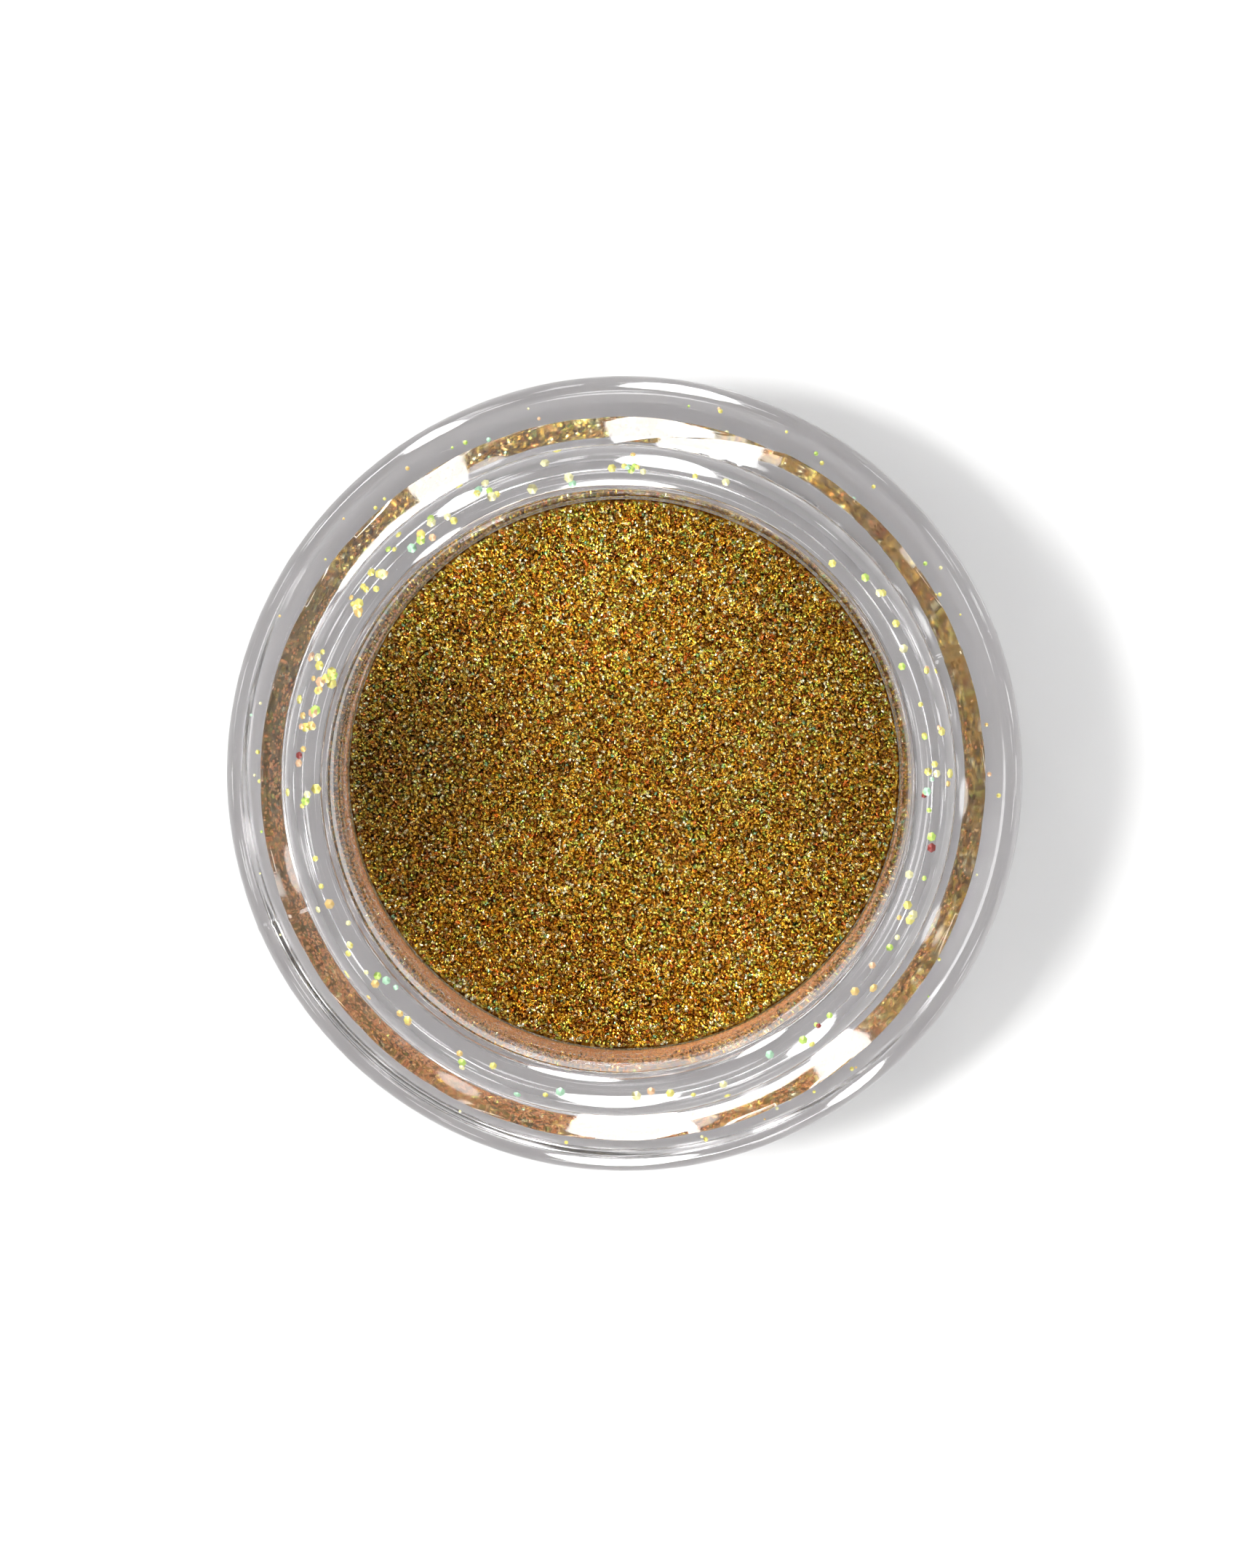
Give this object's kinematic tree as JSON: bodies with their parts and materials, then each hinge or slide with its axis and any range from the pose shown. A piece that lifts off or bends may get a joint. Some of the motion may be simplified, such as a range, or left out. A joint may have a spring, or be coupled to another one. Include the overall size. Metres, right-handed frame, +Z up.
{
  "type": "sample jar",
  "caption": "Low, wide clear plastic sample jar with a threaded neck, open, part filled with fine loose gold flake.",
  "frame": {"origin": "centre of the foot, on the surface that the jar stands on", "axes": "+Z up along the jar's axis, out of the mouth; the thread starts 21 degrees from +X towards +Y"},
  "size_m": [0.03, 0.03, 0.0139],
  "materials": {
    "clear_plastic": "clear, polished, injection moulded",
    "gold_flake": "fine gold-coloured flake with bright glints"
  },
  "bodies": {
    "vessel": {"jar": "clear_plastic", "ledge_flakes": "gold_flake", "lip_flakes": "gold_flake"},
    "contents": {"gold_fill": "gold_flake"}
  },
  "joints": [
    {"name": "gold_lift", "type": "slide", "parent": "vessel", "child": "contents", "axis": [0, 0, 1], "range_m": [0, 0.014]}
  ]
}
